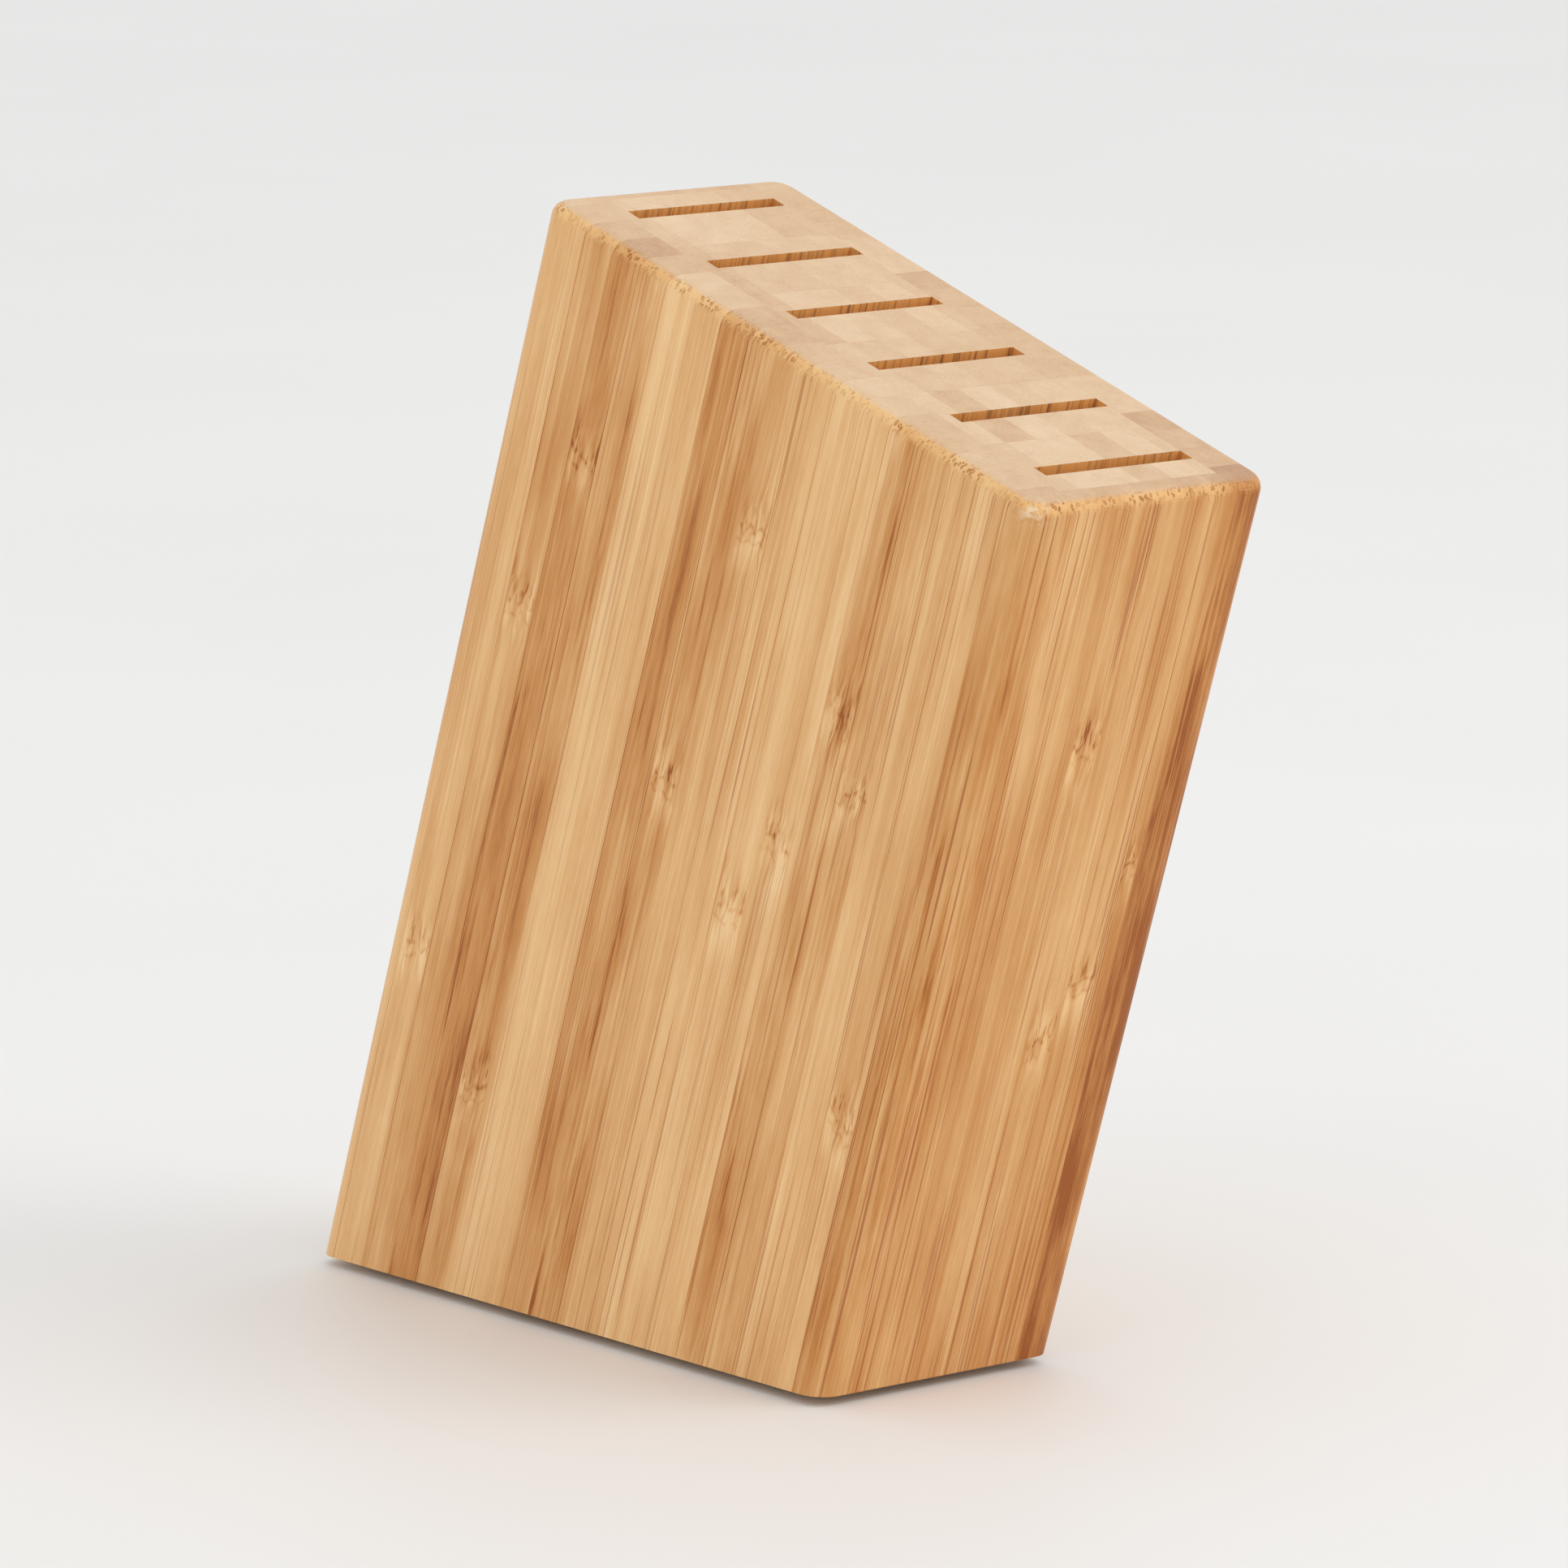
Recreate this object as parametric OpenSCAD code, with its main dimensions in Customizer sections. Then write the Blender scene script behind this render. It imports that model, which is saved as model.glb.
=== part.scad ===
// Laminated bamboo knife block with six slots: a rectangular block that leans
// forward over a level base and stands on four low feet.
//
// The block is drawn upright first: x runs from the left face to the right, y
// from the front face to the back, and z = 0 is the top face. It is then
// leaned forward and set on its feet, centred over the origin with +Z up.

/* [Block] */
// Length of the top face, front to back
top_len = 114; // [105:0.5:120]
// Length of the front face, from the top down to the base
front_len = 145; // [110:1:230]
// Forward lean, in degrees
lean = 17; // [5:0.5:25]
// Radius of the four long edges
long_edge_r = 4; // [2.5:0.1:4.1]
// Radius of the roundover along the top edges
top_edge_r = 2.3; // [1:0.1:2.4]

/* [Side panels] */
// Thickness of each side panel, left and right
panel_t = 8.3; // [6:0.1:12]
// Width of the trimmed strip at the front of each panel
front_strip_w = 5.8; // [4.5:0.1:6.5]
// Width of the trimmed strip at the back of each panel
back_strip_w = 4.2; // [4.1:0.1:6.5]

/* [Core] */
// Thickness of the core slab between the panels
core_t = 31; // [20:0.5:45]
// Width of the trimmed billet at the front, which holds no slot
front_billet_w = 3.9; // [2.6:0.1:5]
// Width of the billet behind it, which holds the first slot
second_billet_w = 16.4; // [15:0.1:17.5]
// Width of the trimmed billet at the back, which holds no slot
back_billet_w = 3.2; // [2.6:0.1:5]

/* [Slots] */
// Slot opening from front to back, for the blade's thickness
slot_t = 2.8; // [2:0.1:4]
// Wood left at the closed left end of each slot
web_t = 2; // [1.5:0.1:4]
// Distance from the front face to the middle of the first slot
front_slot_gap = 10.5; // [8.5:0.1:12]
// Distance from the middle of the last slot to the back face
back_slot_gap = 9; // [8:0.1:11]

/* [Feet] */
// Height of a foot, which is the gap under the base
foot_h = 1.6; // [1:0.1:4]
// Diameter of a foot
foot_d = 9; // [6:0.5:10]
// Distance from a side face to the middle of a foot
foot_inset = 11; // [8:0.5:13]
// Radius of a foot's lower edge
foot_edge_r = 0.5; // [0.2:0.1:0.8]

/* [Hidden] */
// The counts set the list of nodes.
strip_count = 18;
slot_count = 6;
stave_count = 2 * slot_count + 2;

block_w = core_t + 2 * panel_t;
strip_w = (top_len - front_strip_w - back_strip_w) / (strip_count - 2);
billet_w = (top_len - front_billet_w - second_billet_w - back_billet_w) / (slot_count - 1);
slot_pitch = (top_len - front_slot_gap - back_slot_gap) / (slot_count - 1);

// Every bar is drawn past the longest face of the block, then cut level.
back_len = front_len + top_len * tan(lean);
bar_h = back_len + 5;

// Extents along y once the block leans: the top edge at the front, the front
// edge of the base, and the back edge of the base
front_y = top_edge_r * (cos(lean) + sin(lean) - 1);
base_front_y = front_len * sin(lean);
back_y = top_len * cos(lean) + back_len * sin(lean);
mid_y = (front_y + back_y) / 2;

// Distance behind the front face, along the top, of the two pairs of feet
front_foot_y = slot_y(1) + slot_pitch / 2;
back_foot_y = slot_y(slot_count) - slot_pitch / 2;

arc_steps = 8;
turn_facets = 64;
strip_tones = [
    [0.86, 0.69, 0.47],
    [0.80, 0.61, 0.38],
    [0.84, 0.66, 0.44],
    [0.70, 0.50, 0.30],
    [0.78, 0.58, 0.36]
];
core_tone = [0.83, 0.67, 0.46];
web_tone = [0.80, 0.62, 0.42];
foot_tone = [0.12, 0.12, 0.12];

function two_digits(n) = n < 10 ? str("0", n) : str(n);
function left_strip_name(i) = str("left_panel_strip_", two_digits(i));
function right_strip_name(i) = str("right_panel_strip_", two_digits(i));
function stave_name(i) = str("core_stave_", two_digits(i));
function web_name(i) = str("core_web_", i);

// Strips, billets, joints and slots are all counted from 1 at the front.
function strip_y(i) = front_strip_w + (i - 2) * strip_w;
function joint_y(i) = front_billet_w + (i > 1 ? second_billet_w + (i - 2) * billet_w : 0);
function slot_y(i) = front_slot_gap + (i - 1) * slot_pitch;

// Front and back of a stave that lies beside a slot: an even stave is in front
// of its slot, and the odd stave after it is behind the same slot.
function stave_span(i) =
    let (slot = floor(i / 2))
    i % 2 == 0
        ? [joint_y(slot), slot_y(slot) - slot_t / 2]
        : [slot_y(slot) + slot_t / 2, joint_y(slot + 1)];

// Points of a quarter circle about [cx, cy], from an angle through 90 degrees.
function quarter_arc(cx, cy, r, from) = [
    for (k = [0:arc_steps])
        let (angle = from + 90 * k / arc_steps)
        [cx + r * cos(angle), cy + r * sin(angle)]
];

// Takes the upright block to its leaning place on the feet.
module lean_forward() {
    translate([-block_w / 2, -mid_y, foot_h + front_len * cos(lean)])
        rotate([lean, 0, 0])
            children();
}

// Cuts the lower end of the upright block along its level base.
module cut_level() {
    reach = 2 * bar_h;
    intersection() {
        children();
        translate([-1, 0, -front_len])
            rotate([-lean, 0, 0])
                translate([0, -reach / 2, 0])
                    cube([block_w + 2, reach, reach]);
    }
}

// A plain bar from z = 0 down, with its front left corner at the origin.
module bar(width, depth) {
    translate([0, 0, -bar_h])
        cube([width, depth, bar_h]);
}

// A bar whose left face is a face of the block, with that face's top edge
// rounded over.
module edge_bar(width, depth) {
    section = concat(
        quarter_arc(top_edge_r, -top_edge_r, top_edge_r, 90),
        [[0, -bar_h], [width, -bar_h], [width, 0]]
    );
    translate([0, depth, 0])
        rotate([90, 0, 0])
            linear_extrude(depth)
                polygon(section);
}

// The rounded quarter column inside a corner of the block: the roundover of
// the top edges runs on round the corner.
module corner_column() {
    section = concat(
        [[0, 0], [0, -bar_h], [long_edge_r, -bar_h]],
        quarter_arc(long_edge_r - top_edge_r, -top_edge_r, top_edge_r, 0)
    );
    translate([long_edge_r, long_edge_r, 0])
        rotate([0, 0, 180])
            rotate_extrude(angle = 90, $fn = turn_facets)
                polygon(section);
}

// A bar whose left and front faces are both faces of the block, with the long
// edge between them rounded.
module corner_bar(width, depth) {
    corner_column();
    translate([0, long_edge_r, 0])
        edge_bar(long_edge_r, depth - long_edge_r);
    translate([long_edge_r, 0, 0])
        mirror([1, -1, 0])
            edge_bar(long_edge_r, width - long_edge_r);
    translate([long_edge_r, long_edge_r, 0])
        bar(width - long_edge_r, depth - long_edge_r);
}

// Turns a piece drawn for the front of the block into one for the back.
module at_back() {
    translate([0, top_len, 0])
        mirror([0, 1, 0])
            children();
}

module panel_strip(i) {
    if (i == 1)
        corner_bar(panel_t, front_strip_w);
    else if (i == strip_count)
        at_back() corner_bar(panel_t, back_strip_w);
    else
        translate([0, strip_y(i), 0])
            edge_bar(panel_t, strip_w);
}

module left_panel_strip(i) {
    color(strip_tones[i % len(strip_tones)])
        lean_forward()
            cut_level()
                panel_strip(i);
}

module right_panel_strip(i) {
    color(strip_tones[(i + 2) % len(strip_tones)])
        lean_forward()
            cut_level()
                translate([block_w, 0, 0])
                    mirror([1, 0, 0])
                        panel_strip(i);
}

// A billet at the front of the core, with no slot: its front face is a face of
// the block.
module end_billet(depth) {
    translate([panel_t, 0, 0])
        mirror([1, -1, 0])
            edge_bar(depth, core_t);
}

module slotted_billet_stave(span) {
    translate([panel_t + web_t, span[0], 0])
        bar(core_t - web_t, span[1] - span[0]);
}

module core_stave(i) {
    color(core_tone)
        lean_forward()
            cut_level()
                if (i == 1)
                    end_billet(front_billet_w);
                else if (i == stave_count)
                    at_back() end_billet(back_billet_w);
                else
                    slotted_billet_stave(stave_span(i));
}

// The wood at the closed left end of a slot, across its whole billet.
module core_web(i) {
    color(web_tone)
        lean_forward()
            cut_level()
                translate([panel_t, joint_y(i), 0])
                    bar(web_t, joint_y(i + 1) - joint_y(i));
}

// A round foot under the solid wood between two slots. side is -1 for left and
// 1 for right, and y is its distance behind the front face, along the top.
module foot(side, y) {
    foot_r = foot_d / 2;
    section = concat(
        [[0, foot_h], [0, 0]],
        quarter_arc(foot_r - foot_edge_r, foot_edge_r, foot_edge_r, 270),
        [[foot_r, foot_h]]
    );
    color(foot_tone)
        translate([side * (block_w / 2 - foot_inset), base_front_y + y / cos(lean) - mid_y, 0])
            rotate_extrude($fn = turn_facets)
                polygon(section);
}

for (i = [1:strip_count]) {
    left_panel_strip(i);
    right_panel_strip(i);
}
for (i = [1:stave_count])
    core_stave(i);
for (i = [1:slot_count])
    core_web(i);
foot(-1, front_foot_y);  // foot_front_left
foot(1, front_foot_y);  // foot_front_right
foot(-1, back_foot_y);  // foot_back_left
foot(1, back_foot_y);  // foot_back_right
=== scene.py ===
# Looks for a bamboo knife block that leans forward over four rubber feet.
#
# The wood is solid in its materials, as it is in the block: fibres and their
# bundles run along every strip, show as streaks on its sides and as dots on
# its ends. The patterns are worked out in the block's own upright frame, in
# millimetres: x from the left face, y from the front face, z up from the top.
import math
import random
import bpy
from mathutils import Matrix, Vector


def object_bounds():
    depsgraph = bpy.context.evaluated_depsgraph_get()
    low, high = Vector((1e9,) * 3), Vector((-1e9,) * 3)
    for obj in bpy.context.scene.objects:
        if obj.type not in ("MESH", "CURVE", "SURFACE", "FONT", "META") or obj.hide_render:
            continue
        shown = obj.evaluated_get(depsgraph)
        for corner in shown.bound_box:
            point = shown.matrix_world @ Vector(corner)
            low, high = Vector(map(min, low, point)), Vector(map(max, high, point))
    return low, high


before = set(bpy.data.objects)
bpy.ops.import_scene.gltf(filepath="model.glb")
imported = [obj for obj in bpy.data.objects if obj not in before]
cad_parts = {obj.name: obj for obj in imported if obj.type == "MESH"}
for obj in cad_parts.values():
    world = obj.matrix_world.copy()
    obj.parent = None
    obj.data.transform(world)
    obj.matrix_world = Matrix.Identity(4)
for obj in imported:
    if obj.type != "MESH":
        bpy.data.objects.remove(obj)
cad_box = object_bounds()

from types import SimpleNamespace

import bpy
from mathutils import Matrix, Quaternion, Vector

MM = 0.001
LEAN = math.radians(17)
FEET = [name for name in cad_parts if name.startswith("foot_")]


def count_nodes(prefix):
    return sum(name.startswith(prefix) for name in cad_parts)


STRIP_COUNT = count_nodes("left_panel_strip_")
STAVE_COUNT = count_nodes("core_stave_")
SLOT_COUNT = count_nodes("core_web_")

# How each strip of the left panel looks, from the front: tone from 0, pale, to
# 1, dark; how strong its long dark lines and fine streaks are; how strong its
# short flecks and soft mottling are; and how far below the top, in mm, it
# passes through a node of the bamboo.
LEFT_STRIPS = (
    (0.56, 1.0, 0.6, None),
    (0.36, 0.6, 0.2, 103),
    (0.32, 0.7, 0.1, None),
    (0.44, 0.7, 0.4, 56),
    (0.46, 0.7, 1.0, 46),
    (0.27, 0.5, 0.1, 70),
    (0.21, 0.4, 0.1, 84),
    (0.33, 0.8, 0.0, None),
    (0.42, 0.5, 0.2, 28),
    (0.54, 0.6, 0.9, 72),
    (0.57, 0.5, 0.6, None),
    (0.30, 0.3, 0.1, None),
    (0.22, 0.5, 0.0, None),
    (0.51, 0.4, 0.7, 137),
    (0.68, 0.3, 0.7, 34),
    (0.46, 0.3, 0.4, 61),
    (0.34, 0.3, 0.1, 122),
    (0.28, 0.3, 0.0, None),
)

# Tones of the right panel's strips, from the front. The rest of their look is
# drawn at random.
RIGHT_TONES = (
    0.88, 0.55, 0.5, 0.62, 0.25, 0.3, 0.45, 0.45, 0.5,
    0.4, 0.45, 0.55, 0.2, 0.25, 0.4, 0.45, 0.4, 0.3,
)

# Tone, lines and flecks of the core's pieces
FRONT_STAVE = (0.53, 0.8, 0.2)
BACK_STAVE = (0.44, 0.7, 0.3)
SLOT_STAVE = (0.32, 0.5, 0.3)
WEB = (0.36, 0.4, 0.2)

# Nodes on the front and back faces of the core, as mm from the left face and mm
# below the top, with the width of the layer that each one crosses.
FRONT_NODES = ((22.2, 40, 5.6), (33.4, 80, 5.6), (27.8, 89, 5.6), (37.6, 61, 2.8))
BACK_NODES = ((16.5, 97, 5.6), (27.8, 51, 5.6), (33.5, 128, 5.6))

# How far, in mm, a node falls across its layer of the core, and the most that
# one falls or rises across its strip of a panel
FACE_NODE_SLANT = 1.0
STRIP_NODE_SLANT = 3.0

# Seeds: a strip adds its own number to its panel's. The core's billets, from the
# front, have theirs picked for where each shows a pale or a dark layer.
PANEL_SEEDS = {"left": 0, "right": 40}
CORE_SEEDS = (249, 99, 118, 202, 79, 88, 121, 198)

# A place in mm where nothing is: it stands for a glue line that isn't there.
FAR = -1000.0

# Layers of a billet, along x: the first boundary and the width of a layer, in
# mm, and how much the layers differ in tone.
SLOT_LAYERS = (12.3, 6.1, 0.4)
FACE_LAYERS = (13.7, 5.65, 0.3)
ONE_LAYER = (FAR, 2 * abs(FAR), 0.0)


def srgb(red, green, blue):
    """A display colour from 0 to 255 as the linear colour that a shader takes."""
    def linear(c):
        c /= 255
        return c / 12.92 if c <= 0.04045 else ((c + 0.055) / 1.055) ** 2.4
    return (linear(red), linear(green), linear(blue), 1.0)


# ---------------------------------------------------------------- block frame

def unlean(point):
    """Turns a point or direction so that the block stands upright."""
    return Matrix.Rotation(-LEAN, 3, "X") @ point


def find_corner():
    """Front left top corner of the block, before any rounding, in the CAD's own frame."""
    wood = [piece for name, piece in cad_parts.items() if name not in FEET]
    points = [unlean(vertex.co) for piece in wood for vertex in piece.data.vertices]
    corner = Vector((min(p.x for p in points), min(p.y for p in points), max(p.z for p in points)))
    return Matrix.Rotation(LEAN, 3, "X") @ corner


CORNER = find_corner()
X, Y = 0, 1


def span(name, axis):
    """Lowest and highest place of a CAD node along an axis of the block's frame, in mm."""
    places = [unlean(v.co - CORNER)[axis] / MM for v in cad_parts[name].data.vertices]
    return min(places), max(places)


SLOT_LEFT = span("core_web_1", X)[1]
SLOT_RIGHT = span("right_panel_strip_01", X)[0]
CORE_FRONT = span("core_stave_01", Y)[0]
CORE_BACK = span(f"core_stave_{STAVE_COUNT:02d}", Y)[1]


# ------------------------------------------------------------- node building

class Nodes:
    """Builds a node tree one step at a time. Each method returns an output socket."""

    def __init__(self, tree):
        self.tree = tree

    def add(self, kind, inputs=None, output=0, **settings):
        made = self.tree.nodes.new(kind)
        for name, setting in settings.items():
            setattr(made, name, setting)
        for name, value in (inputs or {}).items():
            self.feed(made.inputs[name], value)
        return made.outputs[output]

    def feed(self, socket, value):
        if isinstance(value, bpy.types.NodeSocket):
            self.tree.links.new(value, socket)
        else:
            socket.default_value = value

    def math(self, operation, a, b=0.0):
        return self.add("ShaderNodeMath", {0: a, 1: b}, operation=operation)

    def sum(self, *terms):
        """Adds up (value, weight) pairs and plain values."""
        total = 0.0
        for term in terms:
            value, weight = term if isinstance(term, tuple) else (term, 1.0)
            total = self.add("ShaderNodeMath", {0: value, 1: weight, 2: total}, operation="MULTIPLY_ADD")
        return total

    def product(self, first, *others):
        for other in others:
            first = self.math("MULTIPLY", first, other)
        return first

    def inverted(self, value):
        """1 where value is 0, and 0 where it is 1."""
        return self.sum(1.0, (value, -1.0))

    def vector(self, operation, a, b, output=0):
        return self.add("ShaderNodeVectorMath", {0: a, 1: b}, output, operation=operation)

    def xyz(self, x=0.0, y=0.0, z=0.0):
        return self.add("ShaderNodeCombineXYZ", {"X": x, "Y": y, "Z": z})

    def axis(self, vector, name):
        return self.add("ShaderNodeSeparateXYZ", {"Vector": vector}, name)

    def ease(self, value, low, high):
        """0 at low and 1 at high, with a smooth change between. High may be the lower number."""
        return self.add(
            "ShaderNodeMapRange",
            {"Value": value, "From Min": low, "From Max": high},
            interpolation_type="SMOOTHSTEP",
        )

    def between(self, value, low, high, fade):
        """1 from low to high, with a smooth fade just inside each end."""
        return self.product(self.ease(value, low, low + fade), self.ease(value, high, high - fade))

    def bell(self, value, middle, width):
        """1 at the middle, falling away over width to either side."""
        off = self.math("DIVIDE", self.math("SUBTRACT", value, middle), width)
        return self.math("EXPONENT", self.product(off, off, -1.0))

    def near(self, value, place, reach):
        """1 within reach of a place, fading out over as much again."""
        off = self.math("ABSOLUTE", self.math("SUBTRACT", value, place))
        return self.ease(off, reach * 2, reach)

    def noise(self, point, scale, detail=2.0, roughness=0.5):
        """Noise from 0 to 1, with its own scale along each axis, in cycles per unit of the point."""
        scaled = self.vector("MULTIPLY", point, scale)
        return self.add(
            "ShaderNodeTexNoise",
            {"Vector": scaled, "Scale": 1.0, "Detail": detail, "Roughness": roughness},
        )

    def fibres(self, point, across, along, detail=2.0):
        """Noise drawn out along the block's fibres, with both scales in cycles per mm."""
        return self.noise(point, (across, across, along), detail)

    def mix(self, amount, a, b):
        """Blends two colours. Only their numbers tell the node's colour sockets from its others."""
        made = self.tree.nodes.new("ShaderNodeMix")
        made.data_type = "RGBA"
        factor, colour_a, colour_b = made.inputs[0], made.inputs[6], made.inputs[7]
        self.feed(factor, amount)
        self.feed(colour_a, a)
        self.feed(colour_b, b)
        return made.outputs[2]

    def ramp(self, value, stops):
        made = self.tree.nodes.new("ShaderNodeValToRGB")
        self.feed(made.inputs["Fac"], value)
        elements = made.color_ramp.elements
        while len(elements) < len(stops):
            elements.new(1.0)
        for element, (place, colour) in zip(elements, stops):
            element.position = place
            element.color = colour
        return made.outputs["Color"]

    def group(self, tree, inputs):
        """Unlike the others, this returns all the group's outputs."""
        made = self.tree.nodes.new("ShaderNodeGroup")
        made.node_tree = tree
        for name, value in inputs.items():
            self.feed(made.inputs[name], value)
        return made.outputs


def new_group(name, inputs, outputs):
    """An empty node group. Returns it with its builder, its input sockets and its output node."""
    tree = bpy.data.node_groups.new(name, "ShaderNodeTree")
    for label, kind in inputs.items():
        tree.interface.new_socket(label, in_out="INPUT", socket_type=kind)
    for label, kind in outputs.items():
        tree.interface.new_socket(label, in_out="OUTPUT", socket_type=kind)
    sockets = tree.nodes.new("NodeGroupInput").outputs
    return tree, Nodes(tree), sockets, tree.nodes.new("NodeGroupOutput")


VALUE = "NodeSocketFloat"
VECTOR = "NodeSocketVector"
COLOUR = "NodeSocketColor"


# -------------------------------------------------------------- node of bamboo

def make_culm_node():
    """The scar where a strip passes through a node of the bamboo.

    A pale smear runs along the fibres, a broken ridge crosses it with a stain
    above, and short dark ticks lie beside the ridge. Slant is the ridge's fall
    across the strip, and Swerve is how far the fibres bend aside, both in mm.
    """
    inputs = {"Across": VALUE, "Below": VALUE, "Width": VALUE, "Seed": VALUE, "Slant": VALUE}
    outputs = {"Dark": VALUE, "Pale": VALUE, "Swerve": VALUE}
    tree, n, given, made = new_group("culm_node", inputs, outputs)
    across, below = given["Across"], given["Below"]
    place = n.xyz(n.sum(across, (given["Seed"], 13.0)), n.math("MULTIPLY", given["Seed"], 7.0), below)

    side = n.math("DIVIDE", across, given["Width"])
    inside = n.ease(n.math("ABSOLUTE", side), 0.5, 0.42)
    wobble = n.sum((n.noise(place, (0.5, 1.0, 0.1), detail=3.0), 5.0), -2.5)
    curve = n.sum(below, n.math("MULTIPLY", side, given["Slant"]), wobble)
    broken = n.ease(n.noise(place, (0.6, 1.0, 0.3)), 0.42, 0.58)
    ridge = n.product(n.bell(curve, 0.0, 0.4), broken)
    second_ridge = n.product(n.bell(curve, 2.2, 0.3), n.inverted(broken))

    tick_noise = n.noise(place, (1.9, 1.0, 0.22), roughness=0.6)
    ticks = n.product(n.ease(tick_noise, 0.51, 0.64), n.bell(curve, -1.2, 3.2))
    stain = n.product(n.bell(curve, -2.5, 4.0), n.ease(n.noise(place, (0.45, 1.0, 0.1)), 0.45, 0.65))
    smear = n.product(n.bell(curve, 1.5, 5.5), n.ease(n.noise(place, (0.4, 1.0, 0.09)), 0.4, 0.6))

    dark = n.sum((ridge, 0.6), (second_ridge, 0.35), (ticks, 0.8), (stain, 0.3))
    sway = n.sum((n.noise(place, (0.3, 1.0, 0.08)), 4.0), -2.0)
    swerve = n.product(n.bell(below, 0.0, 7.0), sway)
    n.feed(made.inputs["Dark"], n.product(inside, dark))
    n.feed(made.inputs["Pale"], n.product(inside, smear))
    n.feed(made.inputs["Swerve"], n.product(inside, swerve))
    return tree


# ---------------------------------------------------------------- bamboo wood

# Each ramp goes from pale wood to dark: along the fibres, on the sanded flat ends, and on the rounded
# edge between the two. The flat ends' ramp is paler and greyer, partly as painted sheen: a painted
# reflection of the bright room on the top.
LONG_GRAIN = (
    (0.00, srgb(243, 204, 150)),
    (0.25, srgb(231, 184, 127)),
    (0.50, srgb(215, 160, 101)),
    (0.75, srgb(199, 135, 72)),
    (1.00, srgb(156, 86, 30)),
)
FLAT_END_WITH_SHEEN = (
    (0.00, srgb(233, 204, 168)),
    (0.50, srgb(215, 179, 141)),
    (1.00, srgb(186, 142, 110)),
)
ROUNDED_EDGE = (
    (0.00, srgb(244, 204, 146)),
    (0.50, srgb(230, 180, 118)),
    (1.00, srgb(194, 130, 70)),
)
DARK_LINE = srgb(160, 80, 28)
BUNDLE_END = srgb(164, 96, 40)
# Slot walls: painted shade inside the slots, an orange colour with dark streaks along the fibres
SHADED_SLOT_WALL = srgb(236, 168, 90)
SLOT_SHADE_STREAK = srgb(112, 54, 18)
SCUFF = srgb(240, 222, 192)

# In mm: the middle and the reach of the scuff, and half the width of a glue line
SCUFFED_CORNER = (1.6, 1.6, -1.6)
SCUFF_RADIUS = 1.7
GLUE_REACH = 0.07

# How far apart, in mm, one seed's patterns are from the next one's
SEED_STEP = (31, 47, 83)


def add_fibres(n, point, given):
    """Patterns that run along a strip, from 0 to 1. Mottle and streaks go either side of 0."""
    made = SimpleNamespace()
    made.fine = n.fibres(point, 1.5, 0.022, detail=3.0)
    made.grain = n.fibres(point, 3.0, 0.3, detail=1.0)
    made.broad = n.fibres(point, 0.3, 0.009)
    made.cloud = n.fibres(point, 0.17, 0.03, detail=3.0)
    made.patch = n.ease(n.fibres(point, 0.2, 0.022), 0.42, 0.6)
    made.fleck = n.product(n.ease(n.fibres(point, 1.2, 0.05, detail=3.0), 0.48, 0.66), made.patch)
    made.pale_line = n.ease(n.fibres(point, 2.4, 0.014, detail=1.0), 0.40, 0.32)
    dark_line = n.ease(n.fibres(point, 2.0, 0.016, detail=1.0), 0.59, 0.67)
    made.dark_line = n.product(dark_line, given["Lines"])
    made.mottle = n.product(n.sum(made.cloud, -0.5), n.sum(0.45, (given["Flecks"], 0.9)))
    made.streaks = n.product(n.sum(made.fine, -0.5), n.sum(0.16, (given["Lines"], 0.32)))
    return made


def add_bundle_rings(n, point):
    """A ring for each bundle of fibres that is cut across."""
    scaled = n.vector("MULTIPLY", point, (1.7, 1.7, 0.012))
    from_middle = n.add("ShaderNodeTexVoronoi", {"Vector": scaled, "Scale": 1.0}, "Distance")
    bundle = n.ease(from_middle, 0.50, 0.34)
    hollow = n.ease(from_middle, 0.24, 0.12)
    return n.product(bundle, n.sum(1.0, (hollow, -0.8)))


def add_layers(n, x, given):
    """How much darker a layer of the core is than its billet, and how far x is from the layer's edge."""
    place = n.math("DIVIDE", n.math("SUBTRACT", x, given["First Layer"]), given["Layer Width"])
    layer = n.math("FLOOR", place)
    number = n.sum((layer, 4.0), given["Seed"])
    chance = n.add("ShaderNodeTexWhiteNoise", {"W": number}, noise_dimensions="1D")
    darker = n.product(n.sum(chance, -0.5), given["Layer Contrast"])
    from_edge = n.product(n.math("PINGPONG", place, 0.5), given["Layer Width"])
    return darker, from_edge


def add_glue_lines(n, point, from_edge, given):
    """Thin lines between the pieces, and between the layers of the core, broken here and there."""
    y = n.axis(point, "Y")
    at_front = n.near(y, given["Front Joint"], GLUE_REACH)
    at_back = n.near(y, given["Back Joint"], GLUE_REACH)
    at_layer = n.ease(from_edge, 0.12, 0.06)
    line = n.math("MAXIMUM", n.math("MAXIMUM", at_front, at_back), at_layer)
    return n.product(line, n.ease(n.fibres(point, 0.15, 0.012), 0.38, 0.62))


def add_scuff(n, point):
    """A scuff at one corner of the top."""
    from_corner = n.vector("DISTANCE", point, SCUFFED_CORNER, "Value")
    broken = n.ease(n.fibres(point, 0.6, 1.2, detail=3.0), 0.46, 0.58)
    return n.product(n.bell(from_corner, 0.0, SCUFF_RADIUS), broken)


def add_shaded_slot_walls(n, point, end_grain):
    """1 on the walls of the slots, which are the only sides seen inside the core. There the colour is
    darkened as painted shade.
    """
    in_width = n.between(n.axis(point, "X"), SLOT_LEFT - 0.3, SLOT_RIGHT + 0.3, 0.1)
    in_depth = n.between(n.axis(point, "Y"), CORE_FRONT + 5.0, CORE_BACK - 2.0, 1.0)
    return n.product(in_width, in_depth, n.inverted(end_grain))


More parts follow.
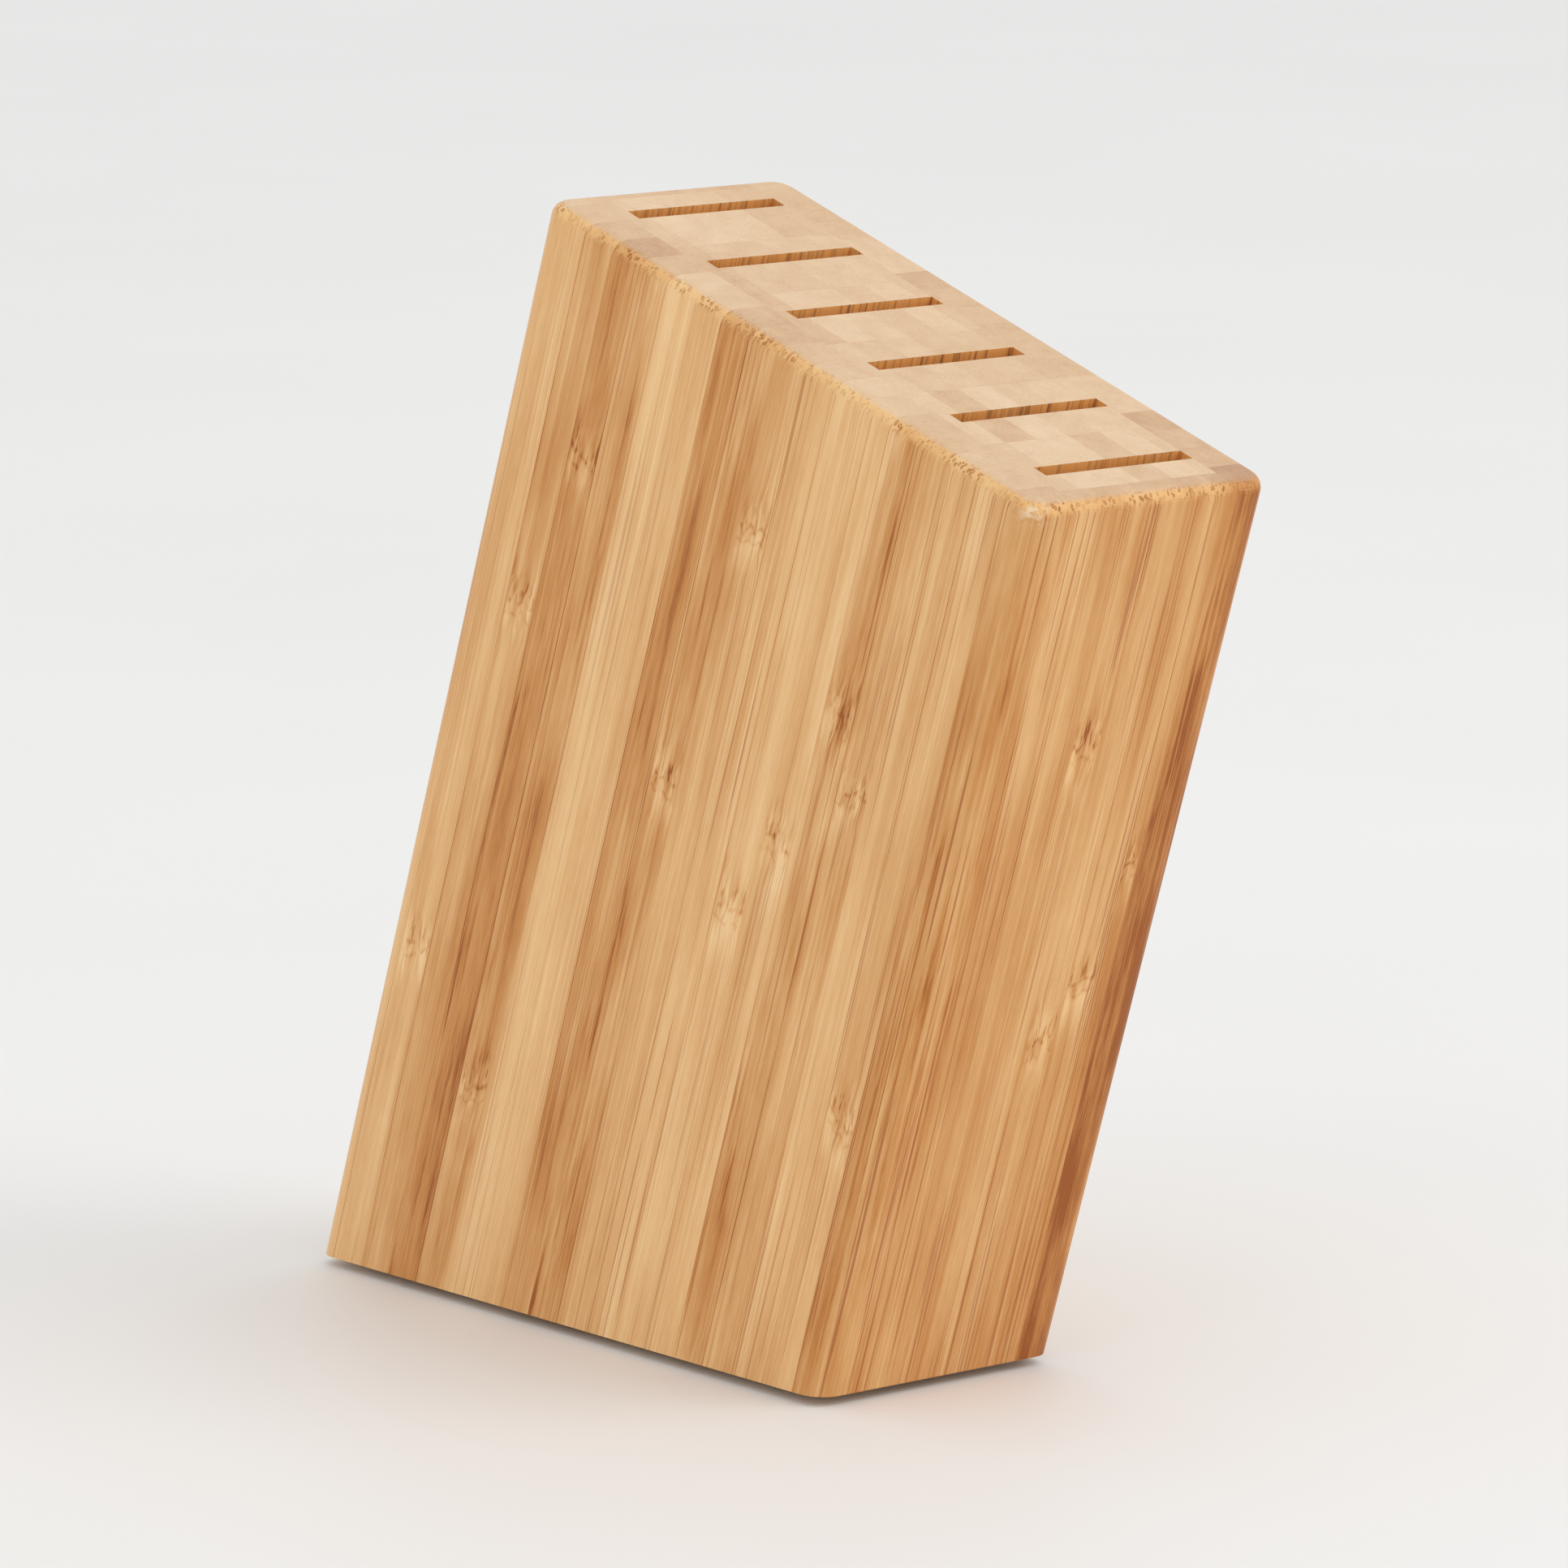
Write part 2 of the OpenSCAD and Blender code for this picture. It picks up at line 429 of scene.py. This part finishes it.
def colour_sides(n, own, fibres, glue, slot_wall_shade, given):
    """Streaks along the fibres. In the slots the wood is painted darker and more orange, with dark
    streaks along the fibres: painted shade inside the slots.
    """
    tone = n.sum(
        own, (fibres.broad, 0.62), fibres.streaks, fibres.mottle, (fibres.grain, 0.2), -0.41,
        (fibres.pale_line, -0.15), (n.product(fibres.fleck, given["Flecks"]), 0.34),
        (given["Node Dark"], 0.58), (given["Node Pale"], -0.34), (glue, 0.38),
    )
    outside = n.mix(n.product(fibres.dark_line, 0.66), n.ramp(tone, LONG_GRAIN), DARK_LINE)
    # Painted shade in the slots: dark streaks along the fibres over an orange colour
    slot_shade_streaks = n.sum((n.ease(fibres.fine, 0.48, 0.7), 0.7), (fibres.fleck, 0.4))
    return n.mix(n.product(slot_wall_shade, 0.85), outside, n.mix(slot_shade_streaks, SHADED_SLOT_WALL, SLOT_SHADE_STREAK))


def colour_ends(n, own, fibres, rings, glue, sheened_flat_end):
    """Bundle ends show as dots on the rounded edges, and are nearly sanded away on the flat top. The flat
    top's pale colour is partly painted sheen.
    """
    tone = n.sum(own, (fibres.broad, 0.4), (fibres.fine, 0.25), (fibres.cloud, 0.3), -0.475, (glue, 0.12))
    # The flat top takes the paler ramp: sanded wood with painted sheen
    plain = n.mix(sheened_flat_end, n.ramp(tone, ROUNDED_EDGE), n.ramp(tone, FLAT_END_WITH_SHEEN))
    strength = n.sum(0.1, (fibres.patch, 0.55), (own, 0.4))
    dots = n.product(rings, strength, n.sum(1.0, (sheened_flat_end, -0.88)))
    return n.mix(dots, plain, BUNDLE_END)


def make_bamboo():
    """Colour, roughness and height, in mm, of laminated bamboo at a point of the block."""
    inputs = {
        "Point": VECTOR, "Normal": VECTOR, "Tone": VALUE, "Lines": VALUE, "Flecks": VALUE, "Seed": VALUE,
        "Front Joint": VALUE, "Back Joint": VALUE, "First Layer": VALUE, "Layer Width": VALUE,
        "Layer Contrast": VALUE, "Node Dark": VALUE, "Node Pale": VALUE,
    }
    outputs = {"Color": COLOUR, "Roughness": VALUE, "Height": VALUE}
    tree, n, given, made = new_group("bamboo", inputs, outputs)
    point, seed = given["Point"], given["Seed"]
    seeded = n.vector("ADD", point, n.vector("MULTIPLY", n.xyz(seed, seed, seed), SEED_STEP))
    end_on = n.math("ABSOLUTE", n.axis(given["Normal"], "Z"))
    end_grain = n.ease(end_on, 0.12, 0.6)
    # The flat top, where the paler colour is partly painted sheen
    sheened_flat_end = n.ease(end_on, 0.80, 0.955)

    fibres = add_fibres(n, seeded, given)
    rings = add_bundle_rings(n, seeded)
    darker, from_edge = add_layers(n, n.axis(point, "X"), given)
    glue = add_glue_lines(n, point, from_edge, given)
    scuff = add_scuff(n, point)
    # Where painted shade goes on the slot walls
    slot_wall_shade = add_shaded_slot_walls(n, point, end_grain)

    own = n.sum(given["Tone"], darker)
    sides = colour_sides(n, own, fibres, glue, slot_wall_shade, given)
    ends = colour_ends(n, own, fibres, rings, glue, sheened_flat_end)
    wood = n.mix(end_grain, sides, ends)
    n.feed(made.inputs["Color"], n.mix(n.product(scuff, 0.7), wood, SCUFF))

    smudge = n.fibres(point, 0.05, 0.03)
    worn = n.sum((end_grain, 0.06), (slot_wall_shade, 0.2), (scuff, 0.2))
    n.feed(made.inputs["Roughness"], n.sum(0.38, (smudge, 0.12), (fibres.fine, 0.1), worn))

    long_height = n.sum((fibres.fine, 0.015), (fibres.dark_line, -0.003), (given["Node Dark"], -0.015))
    end_height = n.sum((rings, -0.01), (scuff, -0.03))
    n.feed(made.inputs["Height"], n.sum(long_height, n.product(end_height, end_grain), (glue, -0.01)))
    return tree


CULM_NODE = make_culm_node()
BAMBOO = make_bamboo()


def block_point(n):
    """The shaded point in the block's frame, in mm."""
    here = n.add("ShaderNodeTexCoord", output="Object")
    turn = {"Vector": here, "Location": CORNER, "Rotation": (LEAN, 0, 0), "Scale": (MM, MM, MM)}
    return n.add("ShaderNodeMapping", turn, vector_type="TEXTURE")


def block_normal(n):
    """The surface's direction in the block's frame."""
    here = n.add("ShaderNodeTexCoord", output="Normal")
    return n.add("ShaderNodeMapping", {"Vector": here, "Rotation": (LEAN, 0, 0)}, vector_type="TEXTURE")


def new_material(name):
    material = bpy.data.materials.new(name)
    material.use_nodes = True
    material.node_tree.nodes.clear()
    return material, Nodes(material.node_tree)


def finish_material(n, colour, roughness, height, **settings):
    """Height is in mm. The other settings go on the shader's own sockets."""
    shader = n.tree.nodes.new("ShaderNodeBsdfPrincipled")
    n.feed(shader.inputs["Base Color"], colour)
    n.feed(shader.inputs["Roughness"], roughness)
    bump = n.add("ShaderNodeBump", {"Height": height, "Strength": 1.0, "Distance": MM})
    n.feed(shader.inputs["Normal"], bump)
    for name, value in settings.items():
        shader.inputs[name.replace("_", " ")].default_value = value
    out = n.tree.nodes.new("ShaderNodeOutputMaterial")
    n.tree.links.new(shader.outputs["BSDF"], out.inputs["Surface"])


def add_culm_node(n, point, seed, axis, middle, depth, width, slant):
    """Dark, pale and the fibres' sideways shift for one node of the bamboo, across the named axis."""
    ports = n.group(CULM_NODE, {
        "Across": n.math("SUBTRACT", n.axis(point, axis), middle),
        "Below": n.sum((n.axis(point, "Z"), -1.0), -depth),
        "Width": width,
        "Seed": seed,
        "Slant": slant,
    })
    shift = n.xyz(**{axis.lower(): ports["Swerve"]})
    return ports["Dark"], ports["Pale"], shift


def bamboo_material(name, seed, look, joints, culm_nodes=(), layers=ONE_LAYER):
    """The material of one piece of wood.

    look is (tone, lines, flecks). joints are the places of the glue lines at the
    front and back of the piece, along y. culm_nodes are (axis, middle, depth,
    width, slant).
    """
    material, n = new_material(name)
    point = block_point(n)
    bent_point = point
    dark, pale = 0.0, 0.0
    for number, culm_node in enumerate(culm_nodes):
        one_dark, one_pale, shift = add_culm_node(n, point, seed + number, *culm_node)
        dark = n.sum(one_dark, dark)
        pale = n.sum(one_pale, pale)
        bent_point = n.vector("ADD", bent_point, shift)
    tone, lines, flecks = look
    ports = n.group(BAMBOO, {
        "Point": bent_point, "Normal": block_normal(n),
        "Tone": tone, "Lines": lines, "Flecks": flecks, "Seed": seed,
        "Front Joint": joints[0], "Back Joint": joints[1],
        "First Layer": layers[0], "Layer Width": layers[1], "Layer Contrast": layers[2],
        "Node Dark": dark, "Node Pale": pale,
    })
    height = ports["Height"]
    finish_material(n, ports["Color"], ports["Roughness"], height, IOR=1.46, Specular_IOR_Level=0.3)
    return material


def rubber_material():
    """Dark rubber with a fine grain and some dust. Its noise is in cycles per metre."""
    material, n = new_material("foot_rubber")
    here = n.add("ShaderNodeTexCoord", output="Object")
    grain = n.noise(here, (2500, 2500, 2500))
    dust = n.ease(n.noise(here, (300, 300, 300), detail=3.0), 0.45, 0.75)
    colour = n.mix(dust, srgb(38, 38, 40), srgb(66, 63, 60))
    finish_material(n, colour, n.sum(0.62, (grain, 0.2)), n.sum((grain, 0.02)))
    return material


# ------------------------------------------------------------ pieces and looks

def paint(name, material):
    """Gives a CAD node a material of its own in place of the CAD's."""
    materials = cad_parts[name].data.materials
    materials.clear()
    materials.append(material)


def strip_joints(number, low, high):
    """The first and last strips have one glue line each: their other side is a face of the block."""
    front = FAR if number == 1 else low
    back = FAR if number == STRIP_COUNT else high
    return front, back


def paint_strip(side, number, look, depth):
    """depth is how far below the top the strip passes through a node of the bamboo, or None."""
    name = f"{side}_panel_strip_{number:02d}"
    low, high = span(name, Y)
    seed = number + PANEL_SEEDS[side]
    slant = random.Random(seed).uniform(-STRIP_NODE_SLANT, STRIP_NODE_SLANT)
    culm_nodes = [("Y", (low + high) / 2, depth, high - low, slant)] if depth else []
    paint(name, bamboo_material(name, seed, look, strip_joints(number, low, high), culm_nodes))


def paint_panels():
    chance = random.Random(5)
    for number, (*look, depth) in enumerate(LEFT_STRIPS, start=1):
        paint_strip("left", number, look, depth)
    for number, tone in enumerate(RIGHT_TONES, start=1):
        depth = chance.uniform(20, 150) if chance.random() < 0.6 else None
        lines = chance.uniform(0.2, 0.8)
        flecks = tone * chance.uniform(0.3, 1.0)
        paint_strip("right", number, (tone, lines, flecks), depth)


def face_nodes(places):
    """Nodes of the bamboo that cross the layers of the front or back face."""
    return [("X", middle, depth, width, FACE_NODE_SLANT) for middle, depth, width in places]


def paint_stave(number):
    """Even staves are in front of a slot and odd ones behind it. The first and last are block faces."""
    name = f"core_stave_{number:02d}"
    seed = CORE_SEEDS[number // 2]
    low, high = span(name, Y)
    joints = (low, FAR) if number % 2 == 0 else (FAR, high)
    if number == 1:
        material = bamboo_material(name, seed, FRONT_STAVE, joints, face_nodes(FRONT_NODES), FACE_LAYERS)
    elif number == STAVE_COUNT:
        material = bamboo_material(name, seed, BACK_STAVE, joints, face_nodes(BACK_NODES), FACE_LAYERS)
    else:
        material = bamboo_material(name, seed, SLOT_STAVE, joints, layers=SLOT_LAYERS)
    paint(name, material)


def paint_core():
    """Both staves beside a slot, and the web at its end, are one billet: they share one pattern."""
    for number in range(1, STAVE_COUNT + 1):
        paint_stave(number)
    for billet in range(1, SLOT_COUNT + 1):
        name = f"core_web_{billet}"
        paint(name, bamboo_material(name, CORE_SEEDS[billet], WEB, span(name, Y), layers=SLOT_LAYERS))


def paint_feet():
    material = rubber_material()
    for name in FEET:
        paint(name, material)


# ------------------------------------------------------ floor, light and camera

def floor_material():
    """Pale paint with a faint unevenness. Its noise is in cycles per metre."""
    material, n = new_material("floor_paint")
    here = n.add("ShaderNodeTexCoord", output="Object")
    colour = n.mix(n.noise(here, (6, 6, 6)), srgb(238, 237, 235), srgb(243, 242, 240))
    finish_material(n, colour, 0.6, n.sum((n.noise(here, (400, 400, 400)), 0.02)))
    return material


def make_floor():
    reach = 4.0
    corners = [(-reach, -reach, 0), (reach, -reach, 0), (reach, reach, 0), (-reach, reach, 0)]
    mesh = bpy.data.meshes.new("floor")
    mesh.from_pydata(corners, [], [(0, 1, 2, 3)])
    mesh.materials.append(floor_material())
    floor = bpy.data.objects.new("floor", mesh)
    bpy.context.scene.collection.objects.link(floor)


def aim(thing, place, target):
    """Puts a lamp or camera at a place, looking at the target."""
    thing.location = place
    thing.rotation_mode = "QUATERNION"
    thing.rotation_quaternion = (place - target).to_track_quat("Z", "Y")


def add_softbox(name, place, target, power, colour):
    light = bpy.data.lights.new(name, "AREA")
    light.shape = "SQUARE"
    light.size = 1.4
    light.energy = power
    light.color = colour
    lamp = bpy.data.objects.new(name, light)
    bpy.context.scene.collection.objects.link(lamp)
    aim(lamp, Vector(place), target)


def light_studio(target):
    world = bpy.data.worlds.new("studio")
    world.use_nodes = True
    sky = world.node_tree.nodes["Background"]
    sky.inputs["Color"].default_value = (0.98, 0.99, 1.0, 1.0)
    sky.inputs["Strength"].default_value = 0.88
    bpy.context.scene.world = world
    add_softbox("key_light", (0.9, -1.5, 1.5), target, power=12.0, colour=(1.0, 0.985, 0.965))
    add_softbox("fill_light", (-1.8, -0.4, 1.0), target, power=3.0, colour=(1.0, 0.98, 0.96))
    bpy.context.scene.view_settings.view_transform = "Standard"


def orbit(azimuth, elevation):
    """Direction from the block to a camera. Azimuth 0 looks along +Y, and 90 along -X."""
    a, e = math.radians(azimuth), math.radians(elevation)
    return Vector((math.sin(a) * math.cos(e), -math.cos(a) * math.cos(e), math.sin(e)))


def add_camera(target):
    """A long lens from the front left, a little above the block, with a slight roll."""
    looked_at = target + Vector((0.73, -0.81, -0.70)) * MM
    distance = 1.4355
    roll = math.radians(0.99)
    data = bpy.data.cameras.new("camera")
    data.sensor_width = 36.0
    data.lens = 218.68
    data.clip_end = 50.0
    camera = bpy.data.objects.new("camera", data)
    bpy.context.scene.collection.objects.link(camera)
    aim(camera, looked_at + orbit(azimuth=-41.48, elevation=10.40) * distance, looked_at)
    camera.rotation_quaternion = camera.rotation_quaternion @ Quaternion((0, 0, 1), roll)
    bpy.context.scene.camera = camera


paint_panels()
paint_core()
paint_feet()
make_floor()
middle = (cad_box[0] + cad_box[1]) / 2
light_studio(middle)
add_camera(middle)
